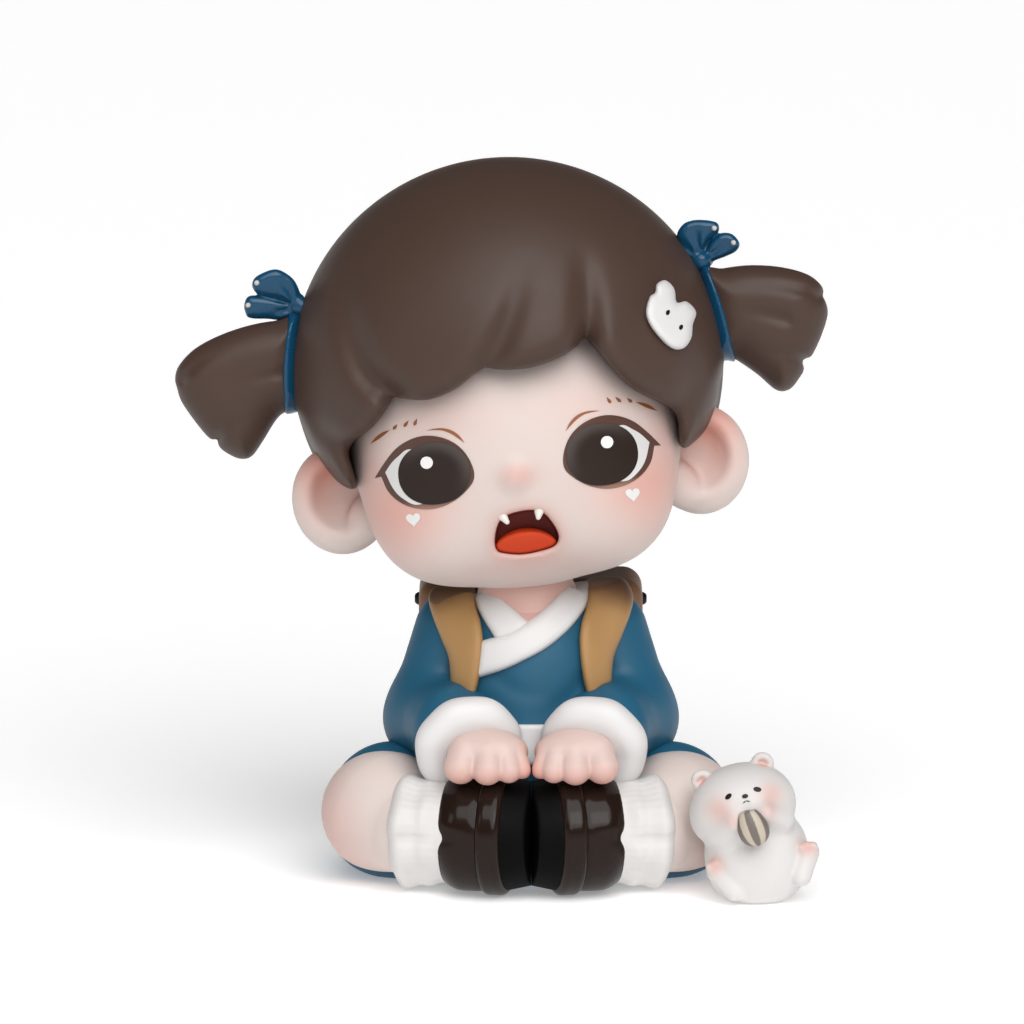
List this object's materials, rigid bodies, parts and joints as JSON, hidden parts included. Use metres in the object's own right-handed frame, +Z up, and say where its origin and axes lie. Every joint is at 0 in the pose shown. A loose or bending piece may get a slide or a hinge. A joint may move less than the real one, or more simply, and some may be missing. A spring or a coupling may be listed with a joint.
{
  "type": "vinyl art toy",
  "caption": "Seated chibi-style vinyl figure with a turning head, swivelling side pigtails, a pull-off backpack and a loose hamster beside one knee.",
  "frame": {"origin": "middle of the flat seat plate, on the table the figure sits on", "axes": "+Z up; the figure looks along -Y; +X is the figure's own left"},
  "size_m": [0.1165, 0.0723, 0.1197],
  "materials": {
    "skin": "satin",
    "hair": "satin",
    "robe": "satin",
    "white": "gloss",
    "sock": "satin",
    "tan": "satin",
    "bag": "satin",
    "shoe": "gloss",
    "sole": "matte",
    "ribbon": "gloss",
    "stud": "gloss",
    "eye": "gloss",
    "mouth": "satin",
    "tongue": "satin",
    "tooth": "gloss",
    "post": "matte",
    "hamster": "satin",
    "seed": "satin"
  },
  "bodies": {
    "figure": {"torso_shell": "robe", "seat_plate": "robe", "neck_post": "post", "chest_skin": "skin", "collar_over": "white", "collar_under": "white", "jacket_hem": "white", "sleeve_left": "robe", "sleeve_right": "robe", "cuff_left": "white", "cuff_right": "white", "hand_left": "skin", "hand_right": "skin", "strap_left": "tan", "strap_right": "tan", "trouser_left": "robe", "trouser_right": "robe", "leg_left": "skin", "leg_right": "skin", "sock_left": "sock", "sock_right": "sock", "shoe_upper_left": "shoe", "shoe_upper_right": "shoe", "sole_welt_left": "shoe", "sole_welt_right": "shoe", "sole_tread_left": "sole", "sole_tread_right": "sole"},
    "head": {"head_shell": "skin", "mouth_liner": "mouth", "tongue": "tongue", "fang_left": "tooth", "fang_right": "tooth", "hair_front": "hair", "hair_back": "hair", "hair_clip": "white", "ear_left": "skin", "ear_right": "skin", "eye_left": "eye", "eye_right": "eye", "ribbon_band_left": "ribbon", "ribbon_band_right": "ribbon", "ribbon_bow_left": "ribbon", "ribbon_bow_right": "ribbon"},
    "left_tail": {"pigtail_left": "hair"},
    "right_tail": {"pigtail_right": "hair"},
    "backpack": {"backpack_case": "bag", "backpack_flap": "tan", "backpack_stud_left": "stud", "backpack_stud_right": "stud"},
    "hamster": {"hamster_body": "hamster", "hamster_seed": "seed"}
  },
  "joints": [
    {"name": "head_turn", "type": "hinge", "parent": "figure", "child": "head", "pos_m": [0.00052, -0.002, 0.04915], "axis": [-0.1132, 0, 0.9936], "range_deg": [-30, 30]},
    {"name": "left_tail_turn", "type": "hinge", "parent": "head", "child": "left_tail", "pos_m": [0.03258, 0.001, 0.09458], "axis": [1, 0, 0.0087], "range_deg": [-40, 40]},
    {"name": "right_tail_turn", "type": "hinge", "parent": "head", "child": "right_tail", "pos_m": [-0.04094, 0.001, 0.0862], "axis": [-0.9763, 0, -0.2164], "range_deg": [-40, 40]},
    {"name": "backpack_pull", "type": "slide", "parent": "figure", "child": "backpack", "axis": [0, 1, 0], "range_m": [0, 0.02]},
    {"name": "hamster_lift", "type": "slide", "parent": "figure", "child": "hamster", "axis": [0, 0, 1], "range_m": [0, 0.03]}
  ]
}
